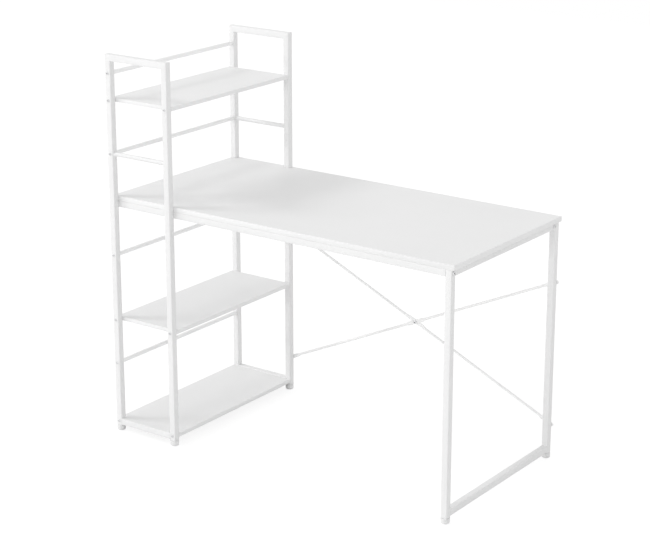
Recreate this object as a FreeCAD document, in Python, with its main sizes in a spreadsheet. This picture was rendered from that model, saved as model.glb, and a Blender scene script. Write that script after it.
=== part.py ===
import FreeCAD, Part
import math
import os
import Sketcher

# A computer desk with an open shelf tower at its left end, drawn as it is built.
# Everything is in millimetres. X runs along the desk to the right, Y from the
# front to the back and Z up. The origin is at the middle of the footprint, on
# the floor. Sizes that are not listed here are worked out from these.
DRIVING_SIZES = {
    # The whole desk
    "overall_width": 1200,
    "overall_depth": 600,
    "overall_height": 1180,
    "desk_height": 750,
    "tower_width": 235,
    "right_overhang": 8,
    # Square and round steel tube
    "tube": 20,
    "tube_wall": 1.2,
    "tube_corner": 2,
    "bar_diameter": 13,
    "bar_wall": 1.2,
    # Boards
    "desk_board": 15,
    "shelf_board": 12,
    "notch_gap": 0.5,
    # Heights: a drop is measured down from what is above, a rise from what is below
    "frame_lift": 20,
    "top_shelf_drop": 132,
    "middle_shelf_height": 368,
    "bottom_shelf_drop": 2,
    "top_bar_drop": 50,
    "brace_drop": 170,
    "brace_rise": 88,
    # Each lower bar's top, as a share of the height of the bay that it closes
    "middle_bar_share": 0.48,
    "lower_bar_share": 0.59,
    "bottom_bar_share": 0.6,
    # Screws, bolts and what they screw into
    "small_thread": 5,
    "small_head": 9,
    "small_head_height": 2.4,
    "large_thread": 6,
    "large_head": 11,
    "large_head_height": 3.6,
    "wood_screw": 4,
    "wood_screw_head": 8,
    "wood_screw_grip": 11,
    "wood_screw_first": 120,
    "leg_screw_inset": 110,
    "shelf_screw_grip": 30,
    "bar_screw_grip": 14,
    "rivet_nut_diameter": 9,
    "rivet_nut_length": 11,
    "plug_length": 16,
    "cap_thickness": 2,
    "cap_depth": 6,
    "screw_gap": 0.1,
    "clearance_gap": 0.4,
    "plug_gap": 0.1,
    # Brace rods
    "rod_diameter": 8,
    "flat_thickness": 3,
    "flat_width": 13,
    "flat_reach": 22,
    "flat_tip": 16,
    "flat_taper": 20,
    "centre_flat": 44,
    "nut_width": 10,
    "nut_height": 4,
    # Levelling feet
    "foot_diameter": 26,
    "foot_chamfer": 7,
    "foot_seat_gap": 0.3,
    "foot_flange": 3,
    "insert_depth": 9,
    "stud_diameter": 8,
    "stud_reach": 8.5,
    "stud_root": 9,
    "stud_gap": 0.05,
}

document = FreeCAD.newDocument("Desk")
sheet = document.addObject("Spreadsheet::Sheet", "Sizes")
for row, (alias, number) in enumerate(DRIVING_SIZES.items(), start=1):
    sheet.set(f"A{row}", alias)
    sheet.set(f"B{row}", str(number))
    sheet.setAlias(f"B{row}", alias)
document.recompute()


class Size:
    """A length with its number and the expression that ties it to the sheet."""

    def __init__(self, number, text):
        self.number = number
        self.text = text

    def joined(self, other, sign, number):
        text = other.text if isinstance(other, Size) else str(other)
        return Size(number, f"({self.text} {sign} {text})")

    def __add__(self, other):
        return self.joined(other, "+", self.number + plain(other))

    def __sub__(self, other):
        return self.joined(other, "-", self.number - plain(other))

    def __mul__(self, other):
        return self.joined(other, "*", self.number * plain(other))

    def __truediv__(self, other):
        return self.joined(other, "/", self.number / plain(other))

    def __neg__(self):
        return Size(-self.number, f"(0 - {self.text})")


def plain(value):
    return value.number if isinstance(value, Size) else value


def size(alias):
    return Size(float(sheet.get(alias)), f"Sizes.{alias}")


def diagonal(across, up):
    number = math.hypot(across.number, up.number)
    return Size(number, f"sqrt({across.text} ^ 2 + {up.text} ^ 2)")


NONE = Size(0.0, "0")

# Sizes used in many places
tube = size("tube")
wall = size("tube_wall")
lift = size("frame_lift")
width = size("overall_width")
depth = size("overall_depth")
height = size("overall_height")
tower = size("tower_width")
desk_board = size("desk_board")
shelf_board = size("shelf_board")
bar = size("bar_diameter")
half_tube = tube / 2
half_bar = bar / 2

# Planes of the frame, from the tower's left front corner on the floor
back_post = depth - tube
right_post = tower - tube
board_bottom = size("desk_height") - desk_board
rail_bottom = board_bottom - tube
rail_middle = board_bottom - half_tube
leg_left = width - size("right_overhang") - tube
leg_right = leg_left + tube
inner_width = right_post - tube
shelf_depth = back_post - tube
board_depth = depth - tube
leg_inner = back_post - tube * 2

# The feet and the brace stand proud of the frames, so the origin allows for them
rod = size("rod_diameter")
flat = size("flat_thickness")
rod_middle = rod / 2
brace_rear = depth + rod_middle + flat + size("nut_height")
foot_overhang = (size("foot_diameter") - tube) / 2
origin_x = (width - foot_overhang) / 2
origin_y = (brace_rear - foot_overhang) / 2

nodes = {}


def place(thing, x, y, z):
    """Ties an object's position to the sheet, measured from the tower's corner."""
    thing.setExpression("Placement.Base.x", (x - origin_x).text)
    thing.setExpression("Placement.Base.y", (y - origin_y).text)
    thing.setExpression("Placement.Base.z", z.text)


def new_body(name):
    body = document.addObject("PartDesign::Body", name)
    body.Label = name
    return body


def origin_item(body, role):
    for item in body.Origin.OriginFeatures:
        if item.Role == role:
            return item
    raise ValueError(role)


def sketch_on(body, name, plane, offset=None):
    sketch = body.newObject("Sketcher::SketchObject", name)
    sketch.AttachmentSupport = (origin_item(body, plane), [""])
    sketch.MapMode = "FlatFace"
    if offset is not None:
        sketch.setExpression("AttachmentOffset.Base.z", offset.text)
    return sketch


def hold(sketch, kind, items, value):
    """Adds a distance or radius constraint that the sheet drives."""
    index = sketch.addConstraint(Sketcher.Constraint(kind, *items, value.number))
    sketch.setExpression(f"Constraints[{index}]", value.text)


def hold_point(sketch, line, end, point):
    """Fixes a point by its two distances from the sketch's origin."""
    for kind, axis, value in (("DistanceX", -2, point[0]), ("DistanceY", -1, point[1])):
        if value.number == 0:
            sketch.addConstraint(Sketcher.Constraint("PointOnObject", line, end, axis))
        else:
            hold(sketch, kind, (-1, 1, line, end), value)


def draw_polygon(sketch, points):
    """Draws a closed outline through the points, each one held by the sheet."""
    corners = [FreeCAD.Vector(u.number, v.number, 0) for u, v in points]
    lines = [
        sketch.addGeometry(Part.LineSegment(corner, corners[(i + 1) % len(corners)]))
        for i, corner in enumerate(corners)
    ]
    join_in_turn(sketch, lines, points)


def draw_rectangle(sketch, left, low, right, high):
    draw_polygon(sketch, [(left, low), (right, low), (right, high), (left, high)])


def draw_arc(sketch, start, end, centre, radius):
    """Draws an arc that turns left from its start to its end."""
    middle = FreeCAD.Vector(centre[0].number, centre[1].number, 0)
    normal = FreeCAD.Vector(0, 0, 1)
    angles = [
        math.atan2(point[1].number - middle.y, point[0].number - middle.x)
        for point in (start, end)
    ]
    ring = Part.Circle(middle, normal, radius.number)
    return sketch.addGeometry(Part.ArcOfCircle(ring, *angles))


def join_in_turn(sketch, pieces, points):
    """Joins each piece of an outline to the next and holds where each starts."""
    for i, piece in enumerate(pieces):
        after = pieces[(i + 1) % len(pieces)]
        sketch.addConstraint(Sketcher.Constraint("Coincident", piece, 2, after, 1))
        hold_point(sketch, piece, 1, points[i])


def draw_rounded_square(sketch, left, low, side, corner):
    """Draws a square section with rounded corners, as rolled tube has."""
    right = left + side
    high = low + side
    points = [
        (left + corner, low),
        (right - corner, low),
        (right, low + corner),
        (right, high - corner),
        (right - corner, high),
        (left + corner, high),
        (left, high - corner),
        (left, low + corner),
    ]
    centres = [
        (right - corner, low + corner),
        (right - corner, high - corner),
        (left + corner, high - corner),
        (left + corner, low + corner),
    ]
    pieces = []
    for i, centre in enumerate(centres):
        first = points[i * 2]
        second = points[i * 2 + 1]
        third = points[(i * 2 + 2) % len(points)]
        ends = [FreeCAD.Vector(u.number, v.number, 0) for u, v in (first, second)]
        pieces.append(sketch.addGeometry(Part.LineSegment(*ends)))
        pieces.append(draw_arc(sketch, second, third, centre, corner))
        hold(sketch, "Radius", (pieces[-1],), corner)
    join_in_turn(sketch, pieces, points)


def draw_quartered_circle(sketch, centre, radius):
    """Draws a circle as four arcs, one to face each side of a rectangle."""
    reach = radius * math.sqrt(0.5)
    low_side = (centre[0] - reach, centre[1] - reach)
    high_side = (centre[0] + reach, centre[1] + reach)
    points = [
        low_side,
        (high_side[0], low_side[1]),
        high_side,
        (low_side[0], high_side[1]),
    ]
    pieces = []
    for i, start in enumerate(points):
        pieces.append(draw_arc(sketch, start, points[(i + 1) % len(points)], centre, radius))
        hold(sketch, "Radius", (pieces[-1],), radius)
    join_in_turn(sketch, pieces, points)


def draw_circle(sketch, centre, radius):
    middle = FreeCAD.Vector(centre[0].number, centre[1].number, 0)
    normal = FreeCAD.Vector(0, 0, 1)
    ring = sketch.addGeometry(Part.Circle(middle, normal, radius.number))
    hold_point(sketch, ring, 3, centre)
    hold(sketch, "Radius", (ring,), radius)


# The sketch plane square to each axis, and whether a pad must turn round to run
# along the axis. A pocket runs the other way from a pad.
ACROSS = {"X": ("YZ_Plane", False), "Y": ("XZ_Plane", True), "Z": ("XY_Plane", False)}


def sketch_across(body, name, axis, start):
    """Opens a sketch square to the axis, at a distance along it."""
    plane, turned = ACROSS[axis]
    if start.number == 0:
        return sketch_on(body, name, plane)
    return sketch_on(body, name, plane, -start if turned else start)


def pad(body, sketch, axis, length):
    feature = body.newObject("PartDesign::Pad", f"{sketch.Name}_pad")
    feature.Profile = sketch
    feature.Reversed = ACROSS[axis][1]
    feature.setExpression("Length", length.text)
    sketch.Visibility = False
    return feature


def pocket(body, sketch, axis, length):
    feature = body.newObject("PartDesign::Pocket", f"{sketch.Name}_cut")
    feature.Profile = sketch
    feature.Reversed = not ACROSS[axis][1]
    feature.setExpression("Length", length.text)
    sketch.Visibility = False
    return feature


def drill(body, name, axis, centres, diameter, length, start=NONE):
    """Cuts round holes along an axis, from a distance along it."""
    sketch = sketch_across(body, name, axis, start)
    for centre in centres:
        draw_circle(sketch, centre, diameter / 2)
    return pocket(body, sketch, axis, length)


def cut_outline(body, name, axis, points, length, start=NONE):
    sketch = sketch_across(body, name, axis, start)
    draw_polygon(sketch, points)
    return pocket(body, sketch, axis, length)


def square_tube(name, axis, length):
    """A hollow square tube along an axis, with one corner at its own origin."""
    body = new_body(name)
    sketch = sketch_across(body, f"{name}_section", axis, NONE)
    draw_rounded_square(sketch, NONE, NONE, tube, size("tube_corner"))
    draw_rectangle(sketch, wall, wall, tube - wall, tube - wall)
    pad(body, sketch, axis, length)
    nodes[name] = body
    return body


def round_tube(name, axis, length):
    """A hollow round tube along an axis, centred on its own origin."""
    body = new_body(name)
    sketch = sketch_across(body, f"{name}_section", axis, NONE)
    draw_circle(sketch, (NONE, NONE), half_bar)
    draw_circle(sketch, (NONE, NONE), half_bar - size("bar_wall"))
    pad(body, sketch, axis, length)
    nodes[name] = body
    return body


def turned(name, axis, outline):
    """A turned piece: the outline gives places along the axis and radii."""
    body = new_body(name)
    plane = {"X": "XY_Plane", "Y": "XY_Plane", "Z": "XZ_Plane"}[axis]
    sketch = sketch_on(body, f"{name}_outline", plane)
    if axis == "X":
        points = outline
    else:
        points = [(radius, along) for along, radius in outline]
    draw_polygon(sketch, points)
    feature = body.newObject("PartDesign::Revolution", f"{name}_turning")
    feature.Profile = sketch
    feature.ReferenceAxis = (origin_item(body, f"{axis}_Axis"), [""])
    feature.Angle = 360
    sketch.Visibility = False
    return body


def group(name, form, places):
    """One node of separate equal solids: links to a form, each at its own place."""
    links = []
    for number, (x, y, z, turn) in enumerate(places, start=1):
        link = document.addObject("App::Link", f"{name}_{number}")
        link.LinkedObject = form
        link.LinkTransform = False
        link.Placement = FreeCAD.Placement(FreeCAD.Vector(), FreeCAD.Rotation(*turn))
        place(link, x, y, z)
        links.append(link)
    compound = document.addObject("Part::Compound", name)
    compound.Label = name
    compound.Links = links
    nodes[name] = compound
    return compound


# Turns given as an axis vector and an angle
FORWARD = (FreeCAD.Vector(0, 0, 1), 0)
ABOUT = (FreeCAD.Vector(0, 0, 1), 180)

# Heights of everything that is screwed through the tower's posts
top_shelf_bottom = height - size("top_shelf_drop") - shelf_board
middle_shelf_bottom = size("middle_shelf_height") - shelf_board
bottom_shelf_bottom = lift + tube - size("bottom_shelf_drop") - shelf_board
shelf_bottoms = {
    "top_shelf": top_shelf_bottom,
    "middle_shelf": middle_shelf_bottom,
    "bottom_shelf": bottom_shelf_bottom,
}


def bar_middle(low, high, share):
    """The middle of a bar whose top is at a share of the way up its bay."""
    return low + (high - low) * size(share) - half_bar


desk_surface = size("desk_height")
middle_shelf_top = middle_shelf_bottom + shelf_board
bottom_shelf_top = bottom_shelf_bottom + shelf_board
bar_middles = {
    "guard_bar_top": height - size("top_bar_drop") - half_bar,
    "guard_bar_middle": bar_middle(desk_surface, top_shelf_bottom, "middle_bar_share"),
    "guard_bar_lower": bar_middle(middle_shelf_top, rail_bottom, "lower_bar_share"),
    "guard_bar_bottom": bar_middle(bottom_shelf_top, middle_shelf_bottom, "bottom_bar_share"),
}
shelf_screw_heights = [bottom + shelf_board / 2 for bottom in shelf_bottoms.values()]
small_hole = size("small_thread") + size("clearance_gap")
large_hole = size("large_thread") + size("clearance_gap")
rivet_nut_hole = size("rivet_nut_diameter") + size("screw_gap")
brace_low = lift + size("brace_rise")
brace_high = rail_bottom - size("brace_drop")
brace_heights = [brace_low, brace_high]


def tower_post(name, x, y, on_left):
    """An upright of a tower frame, mitred at the top, with its screw holes."""
    length = height - lift
    body = square_tube(name, "Z", length)
    inner = tube if on_left else NONE
    mitre = [(NONE, length), (tube, length), (inner, length - tube)]
    cut_outline(body, f"{name}_mitre", "Y", mitre, tube)
    heights = list(shelf_screw_heights)
    if on_left:
        heights += list(bar_middles.values())
    centres = [(half_tube, above - lift) for above in heights]
    drill(body, f"{name}_screw_holes", "Y", centres, small_hole, tube)
    rail_side = half_tube if y.number == 0 else NONE
    rail_hole = [(half_tube, rail_middle - lift)]
    drill(body, f"{name}_rail_hole", "Y", rail_hole, rivet_nut_hole, half_tube, rail_side)
    place(body, x, y, lift)
    return body


def brace_holes(body, name):
    """Holes for the brace's rivet nuts, in the back wall of a back post."""
    centres = [(half_tube, above - lift) for above in brace_heights]
    drill(body, name, "Y", centres, rivet_nut_hole, half_tube, half_tube)


def tower_frame(side, y):
    """The front or the back frame of the tower: posts, rails and a short bar."""
    tower_post(f"tower_{side}_left_post", NONE, y, True)
    right = tower_post(f"tower_{side}_right_post", right_post, y, False)
    if side == "back":
        brace_holes(right, "tower_brace_holes")
    top = square_tube(f"tower_{side}_top_rail", "X", tower)
    left_mitre = [(NONE, NONE), (tube, NONE), (NONE, tube)]
    right_mitre = [(tower, NONE), (tower, tube), (right_post, NONE)]
    cut_outline(top, f"tower_{side}_left_mitre", "Y", left_mitre, tube)
    cut_outline(top, f"tower_{side}_right_mitre", "Y", right_mitre, tube)
    place(top, NONE, y, height - tube)
    bottom = square_tube(f"tower_{side}_bottom_rail", "X", inner_width)
    place(bottom, tube, y, lift)
    short_bar = round_tube(f"tower_{side}_middle_bar", "X", inner_width)
    place(short_bar, tube, y + half_tube, bar_middles["guard_bar_middle"])


def guard_bars():
    """The four round bars that close the tower's left side."""
    for name, middle in bar_middles.items():
        body = round_tube(name, "Y", shelf_depth)
        place(body, half_tube, tube, middle)


def shelf(name, bottom):
    """A tower shelf with a pilot hole for a long screw near each corner."""
    body = new_body(name)
    sketch = sketch_across(body, f"{name}_outline", "Z", NONE)
    draw_rectangle(sketch, NONE, NONE, tower, shelf_depth)
    pad(body, sketch, "Z", shelf_board)
    bore = size("small_thread") + size("screw_gap")
    length = size("shelf_screw_grip") + size("clearance_gap")
    middle = shelf_board / 2
    centres = [(half_tube, middle), (tower - half_tube, middle)]
    drill(body, f"{name}_front_holes", "Y", centres, bore, length)
    drill(body, f"{name}_back_holes", "Y", centres, bore, length, shelf_depth - length)
    place(body, NONE, tube, bottom)
    nodes[name] = body


# Where the wood screws come up into the desk board
rail_screw_places = [
    size("wood_screw_first"),
    leg_left / 2,
    leg_left - size("wood_screw_first"),
]
leg_screw_places = [
    tube * 2 + size("leg_screw_inset"),
    back_post - size("leg_screw_inset"),
]
front_rail_middle = tube + half_tube
back_rail_middle = back_post - half_tube
leg_middle = leg_left + half_tube
wood_screw_places = [(x, front_rail_middle) for x in rail_screw_places]
wood_screw_places += [(x, back_rail_middle) for x in rail_screw_places]
wood_screw_places += [(leg_middle, y) for y in leg_screw_places]


def desk_top():
    """The desk board, notched round the two back posts of the tower."""
    body = new_body("desk_top")
    sketch = sketch_across(body, "desk_top_outline", "Z", NONE)
    draw_rectangle(sketch, NONE, NONE, width, board_depth)
    pad(body, sketch, "Z", desk_board)
    gap = size("notch_gap")
    front = shelf_depth - gap
    left_notch = [
        (NONE, front),
        (tube + gap, front),
        (tube + gap, board_depth),
        (NONE, board_depth),
    ]
    post_notch = [
        (right_post - gap, front),
        (tower + gap, front),
        (tower + gap, board_depth),
        (right_post - gap, board_depth),
    ]
    cut_outline(body, "desk_top_left_notch", "Z", left_notch, desk_board)
    cut_outline(body, "desk_top_post_notch", "Z", post_notch, desk_board)
    centres = [(x, y - tube) for x, y in wood_screw_places]
    bore = size("wood_screw") + size("screw_gap")
    reach = size("wood_screw_grip") + size("clearance_gap")
    drill(body, "desk_top_pilot_holes", "Z", centres, bore, reach)
    place(body, NONE, tube, board_bottom)
    nodes["desk_top"] = body


def desk_rail(name, y):
    """A long rail under the desk board, bolted to two posts of the tower."""
    start = size("cap_thickness")
    body = square_tube(name, "X", leg_left - start)
    bolts = [(half_tube - start, half_tube), (right_post + half_tube - start, half_tube)]
    drill(body, f"{name}_bolt_holes", "Y", bolts, large_hole, tube)
    bore = size("wood_screw") + size("clearance_gap")
    screws = [(x - start, half_tube) for x in rail_screw_places]
    drill(body, f"{name}_screw_holes", "Z", screws, bore, tube)
    place(body, start, y, rail_bottom)


def leg_frame():
    """The right-hand leg frame: two posts with a rail above and below."""
    length = board_bottom - lift
    front = square_tube("leg_front_post", "Z", length)
    bolt = [(half_tube, rail_middle - lift)]
    drill(front, "leg_front_bolt_hole", "X", bolt, large_hole, tube)
    place(front, leg_left, tube, lift)
    back = square_tube("leg_back_post", "Z", length)
    brace_holes(back, "leg_brace_holes")
    place(back, leg_left, back_post, lift)
    top = square_tube("leg_top_rail", "Y", leg_inner)
    bolt = [(back_rail_middle - tube * 2, half_tube)]
    drill(top, "leg_top_bolt_hole", "X", bolt, large_hole, tube)
    bore = size("wood_screw") + size("clearance_gap")
    screws = [(half_tube, y - tube * 2) for y in leg_screw_places]
    drill(top, "leg_top_screw_holes", "Z", screws, bore, tube)
    place(top, leg_left, tube * 2, rail_bottom)
    bottom = square_tube("leg_bottom_rail", "Y", leg_inner)
    place(bottom, leg_left, tube * 2, lift)


def screw_outline(thread, head, head_height, length):
    """A round head and a plain shank, from the top of the head."""
    end = head_height + length
    return [
        (NONE, NONE),
        (NONE, head / 2),
        (head_height, head / 2),
        (head_height, thread / 2),
        (end, thread / 2),
        (end, NONE),
    ]


def ring_outline(outer, inner, length):
    return [(NONE, inner / 2), (NONE, outer / 2), (length, outer / 2), (length, inner / 2)]


def tower_fasteners():
    """Screws through the tower's posts into the shelves and the guard bars."""
    head = size("small_head")
    head_height = size("small_head_height")
    thread = size("small_thread")
    front = -head_height
    back = depth + head_height
    shelf_reach = tube + size("shelf_screw_grip")
    long_screw = turned(
        "shelf_screw_form", "Y", screw_outline(thread, head, head_height, shelf_reach)
    )
    places = []
    for x in (half_tube, right_post + half_tube):
        for z in shelf_screw_heights:
            places.append((x, front, z, FORWARD))
            places.append((x, back, z, ABOUT))
    group("shelf_screws", long_screw, places)
    bar_reach = tube + size("bar_screw_grip")
    short_screw = turned(
        "bar_screw_form", "Y", screw_outline(thread, head, head_height, bar_reach)
    )
    screws = []
    plugs = []
    for z in bar_middles.values():
        screws.append((half_tube, front, z, FORWARD))
        screws.append((half_tube, back, z, ABOUT))
        plugs.append((half_tube, tube, z, FORWARD))
        plugs.append((half_tube, back_post, z, ABOUT))
    group("guard_bar_screws", short_screw, screws)
    plug_outer = bar - size("bar_wall") * 2 - size("plug_gap")
    bore = thread + size("screw_gap")
    plug_form = turned("bar_plug_form", "Y", ring_outline(plug_outer, bore, size("plug_length")))
    group("guard_bar_plugs", plug_form, plugs)


def square_plug(name, axis, length):
    """A plate of the tube's own section, centred on its axis."""
    body = new_body(name)
    sketch = sketch_across(body, f"{name}_section", axis, NONE)
    draw_rounded_square(sketch, -half_tube, -half_tube, tube, size("tube_corner"))
    pad(body, sketch, axis, length)
    return body


def desk_fasteners():
    """Bolts, rivet nuts, plugs, caps and wood screws of the desk and its leg."""
    head_height = size("large_head_height")
    thread = size("large_thread")
    bore = thread + size("screw_gap")
    nut_length = size("rivet_nut_length")
    long_outline = screw_outline(thread, size("large_head"), head_height, tube + nut_length)
    post_bolt = turned("post_bolt_form", "Y", long_outline)
    post_middles = (half_tube, right_post + half_tube)
    front_head = tube * 2 + head_height
    back_head = back_post - tube - head_height
    bolts = [(x, front_head, rail_middle, ABOUT) for x in post_middles]
    bolts += [(x, back_head, rail_middle, FORWARD) for x in post_middles]
    group("rail_to_post_bolts", post_bolt, bolts)
    nut_outline = ring_outline(size("rivet_nut_diameter"), bore, nut_length)
    nut = turned("rivet_nut_form", "Y", nut_outline)
    nuts = [(x, tube, rail_middle, ABOUT) for x in post_middles]
    nuts += [(x, back_post, rail_middle, FORWARD) for x in post_middles]
    nuts += [(x, depth, z, ABOUT) for x in (tower - half_tube, leg_middle) for z in brace_heights]
    group("rivet_nuts", nut, nuts)
    plug_length = size("plug_length")
    leg_outline = screw_outline(thread, size("large_head"), head_height, tube + plug_length)
    leg_bolt = turned("leg_bolt_form", "X", leg_outline)
    head_x = leg_right + head_height
    rail_lines = (front_rail_middle, back_rail_middle)
    group("leg_bolts", leg_bolt, [(head_x, y, rail_middle, ABOUT) for y in rail_lines])
    plug_outer = tube - wall * 2 - size("plug_gap")
    half = plug_outer / 2
    plug = new_body("rail_plug_form")
    section = sketch_across(plug, "rail_plug_section", "X", NONE)
    draw_rectangle(section, -half, -half, half, half)
    draw_circle(section, (NONE, NONE), bore / 2)
    pad(plug, section, "X", plug_length)
    plugs = [(leg_left - plug_length, y, rail_middle, FORWARD) for y in rail_lines]
    group("rail_plugs", plug, plugs)
    cap_depth = size("cap_depth")
    cap_plate = size("cap_thickness")
    cap = square_plug("rail_cap_form", "X", cap_plate)
    stem = sketch_across(cap, "rail_cap_stem", "X", cap_plate)
    draw_rectangle(stem, -half, -half, half, half)
    pad(cap, stem, "X", cap_depth - cap_plate)
    group("rail_caps", cap, [(NONE, y, rail_middle, FORWARD) for y in rail_lines])
    grip = tube + size("wood_screw_grip")
    wood_outline = screw_outline(
        size("wood_screw"), size("wood_screw_head"), size("small_head_height"), grip
    )
    wood_screw = turned("wood_screw_form", "Z", wood_outline)
    low = rail_bottom - size("small_head_height")
    group("desk_top_screws", wood_screw, [(x, y, low, FORWARD) for x, y in wood_screw_places])


run = leg_middle - (tower - half_tube)
rise = brace_high - brace_low
half_span = diagonal(run, rise) / 2
brace_x = (leg_middle + tower - half_tube) / 2
brace_z = (brace_high + brace_low) / 2


def section_at(body, name, along, round_part, front):
    """A cross-section of a brace rod, round or flattened, square to the rod."""
    sketch = sketch_across(body, name, "X", along)
    if round_part:
        draw_quartered_circle(sketch, (rod_middle, NONE), rod_middle)
    else:
        half = size("flat_width") / 2
        draw_rectangle(sketch, front, -half, front + flat, half)
    return sketch


def loft(body, name, first, second):
    feature = body.newObject("PartDesign::AdditiveLoft", name)
    feature.Profile = first
    feature.Sections = [second]
    feature.Ruled = True
    first.Visibility = False
    second.Visibility = False
    return feature


def brace_rod(name, centre_front, rises):
    """A round rod pressed flat at its two ends and at the crossing.

    The rod is drawn from its middle to one end and mirrored. Its flats have a
    hole each, and its ends lie against the posts' back faces.
    """
    body = new_body(name)
    half_flat = size("centre_flat") / 2
    taper = size("flat_taper")
    reach = half_span - size("flat_reach")
    half_width = size("flat_width") / 2
    middle = section_at(body, f"{name}_middle", NONE, False, centre_front)
    middle_pad = pad(body, middle, "X", half_flat)
    pressed = section_at(body, f"{name}_pressed", half_flat, False, centre_front)
    swelling = section_at(body, f"{name}_swelling", half_flat + taper, True, NONE)
    inner_loft = loft(body, f"{name}_inner_taper", pressed, swelling)
    shank = section_at(body, f"{name}_shank", half_flat + taper, True, NONE)
    shank_pad = pad(body, shank, "X", reach - taper * 2 - half_flat)
    thinning = section_at(body, f"{name}_thinning", reach - taper, True, NONE)
    flattened = section_at(body, f"{name}_flattened", reach, False, NONE)
    outer_loft = loft(body, f"{name}_outer_taper", thinning, flattened)
    end = section_at(body, f"{name}_end", reach, False, NONE)
    tip_centre = half_span + size("flat_tip") - half_width
    end_pad = pad(body, end, "X", tip_centre - reach)
    tip = sketch_across(body, f"{name}_tip", "Y", NONE)
    draw_circle(tip, (tip_centre, NONE), half_width)
    tip_pad = pad(body, tip, "Y", flat)
    drill(body, f"{name}_end_hole", "Y", [(half_span, NONE)], large_hole, flat)
    end_hole = body.Tip
    mirror = body.newObject("PartDesign::Mirrored", f"{name}_other_half")
    mirror.Originals = [
        middle_pad, inner_loft, shank_pad, outer_loft, end_pad, tip_pad, end_hole
    ]
    mirror.MirrorPlane = (origin_item(body, "YZ_Plane"), [""])
    body.Tip = mirror
    drill(body, f"{name}_centre_hole", "Y", [(NONE, NONE)], large_hole, rod)
    sign = "-" if rises else ""
    body.Placement = FreeCAD.Placement(
        FreeCAD.Vector(), FreeCAD.Rotation(FreeCAD.Vector(0, 1, 0), 1)
    )
    angle = f"{sign}atan2({rise.text}; {run.text})"
    body.setExpression("Placement.Rotation.Angle", angle)
    place(body, brace_x, depth, brace_z)
    nodes[name] = body


def brace():
    """Two crossing rods, the bolt and nut where they cross, and the end bolts."""
    brace_rod("brace_rod_rising", rod_middle - flat, True)
    brace_rod("brace_rod_falling", rod_middle, False)
    head_height = size("large_head_height")
    thread = size("large_thread")
    grip = flat * 2 + size("nut_height")
    outline = screw_outline(thread, size("large_head"), head_height, grip)
    centre = turned("brace_centre_bolt", "Y", outline)
    place(centre, brace_x, depth + rod_middle - flat - head_height, brace_z)
    nodes["brace_centre_bolt"] = centre
    nut = new_body("brace_centre_nut")
    sketch = sketch_across(nut, "brace_centre_nut_section", "Y", NONE)
    half = size("nut_width") / 2
    corner = size("nut_width") / math.sqrt(3)
    points = [
        (corner, NONE),
        (corner / 2, half),
        (-corner / 2, half),
        (-corner, NONE),
        (-corner / 2, -half),
        (corner / 2, -half),
    ]
    draw_polygon(sketch, points)
    draw_circle(sketch, (NONE, NONE), (thread + size("screw_gap")) / 2)
    pad(nut, sketch, "Y", size("nut_height"))
    place(nut, brace_x, depth + rod_middle + flat, brace_z)
    nodes["brace_centre_nut"] = nut
    end_outline = screw_outline(
        thread, size("large_head"), head_height, flat + size("rivet_nut_length")
    )
    end_bolt = turned("brace_bolt_form", "Y", end_outline)
    back = depth + flat + head_height
    post_middles = (tower - half_tube, leg_middle)
    places = [(x, back, z, ABOUT) for x in post_middles for z in brace_heights]
    group("brace_end_bolts", end_bolt, places)


foot_places = {
    "tower_front_left": (half_tube, half_tube),
    "tower_front_right": (right_post + half_tube, half_tube),
    "tower_back_left": (half_tube, back_post + half_tube),
    "tower_back_right": (right_post + half_tube, back_post + half_tube),
    "leg_front": (leg_middle, tube + half_tube),
    "leg_back": (leg_middle, back_post + half_tube),
}


def levelling_feet():
    """A plastic foot on a threaded stud for each post, and the post's insert."""
    radius = size("foot_diameter") / 2
    chamfer = size("foot_chamfer")
    flange = size("foot_flange")
    top = lift - flange - size("foot_seat_gap")
    stud_radius = size("stud_diameter") / 2
    root = top - size("stud_root")
    foot_outline = [
        (NONE, NONE),
        (NONE, radius - chamfer),
        (chamfer, radius),
        (top, radius),
        (top, stud_radius),
        (root, stud_radius),
        (root, NONE),
    ]
    stud_top = lift + size("stud_reach")
    stud_outline = [
        (NONE, NONE),
        (NONE, stud_radius),
        (stud_top - root, stud_radius),
        (stud_top - root, NONE),
    ]
    for name, (x, y) in foot_places.items():
        foot = turned(f"{name}_foot", "Z", foot_outline)
        place(foot, x, y, NONE)
        nodes[f"{name}_foot"] = foot
        stud = turned(f"{name}_stud", "Z", stud_outline)
        place(stud, x, y, root)
        nodes[f"{name}_stud"] = stud
    insert = square_plug("foot_insert_form", "Z", flange)
    stem = sketch_across(insert, "foot_insert_stem", "Z", flange)
    half = (tube - wall * 2 - size("plug_gap")) / 2
    draw_rectangle(stem, -half, -half, half, half)
    pad(insert, stem, "Z", size("insert_depth"))
    bore = size("stud_diameter") + size("stud_gap") * 2
    reach = flange + size("insert_depth")
    drill(insert, "foot_insert_bore", "Z", [(NONE, NONE)], bore, reach)
    places = [(x, y, lift - flange, FORWARD) for x, y in foot_places.values()]
    group("foot_inserts", insert, places)


tower_frame("front", NONE)
tower_frame("back", back_post)
guard_bars()
for shelf_name, shelf_bottom in shelf_bottoms.items():
    shelf(shelf_name, shelf_bottom)
desk_top()
desk_rail("desk_front_rail", tube)
desk_rail("desk_back_rail", back_post - tube)
leg_frame()
tower_fasteners()
desk_fasteners()
brace()
levelling_feet()
document.recompute()

for thing in document.Objects:
    troubles = {"Invalid", "Error"} & set(thing.State)
    if troubles:
        raise RuntimeError(f"{thing.Label} did not build: {sorted(troubles)}")
for name, node in nodes.items():
    if node.Shape.isNull() or not node.Shape.isValid():
        raise RuntimeError(f"{name} is empty or not valid")

os.makedirs("parts", exist_ok=True)
for name, node in nodes.items():
    node.Shape.exportStep(f"parts/{name}.step")
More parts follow.
